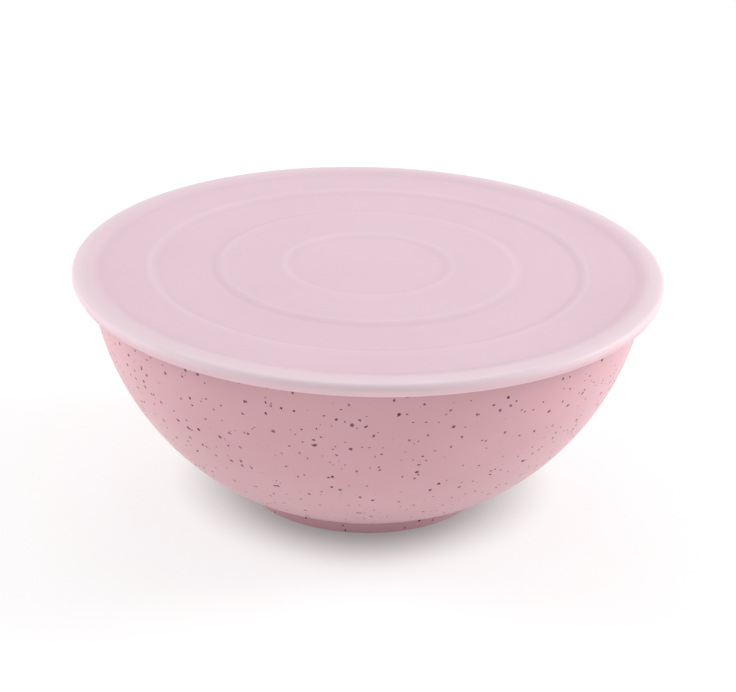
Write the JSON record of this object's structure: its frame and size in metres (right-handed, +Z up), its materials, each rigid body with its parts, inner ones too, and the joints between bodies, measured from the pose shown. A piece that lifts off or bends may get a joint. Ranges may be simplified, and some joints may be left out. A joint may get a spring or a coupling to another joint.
{
  "type": "lidded rice bowl",
  "caption": "Round serving bowl for rice in speckled satin plastic, on a foot ring, with a frosted plastic lid that presses on over the lip and lifts straight off.",
  "frame": {"origin": "centre of the foot ring's base, on the surface the bowl stands on", "axes": "+Z up along the bowl's axis of symmetry, the way the lid lifts; X and Y are free because both pieces are round"},
  "size_m": [0.25, 0.25, 0.1025],
  "materials": {
    "bowl_plastic": "satin pink, sprinkled with small dark grey flecks",
    "lid_plastic": "frosted, milky, lets the bowl's colour through"
  },
  "bodies": {
    "bowl": {"bowl": "bowl_plastic"},
    "lid": {"lid": "lid_plastic"}
  },
  "joints": [
    {"name": "lid_lift", "type": "slide", "parent": "bowl", "child": "lid", "axis": [0, 0, 1], "range_m": [0, 0.15]}
  ]
}
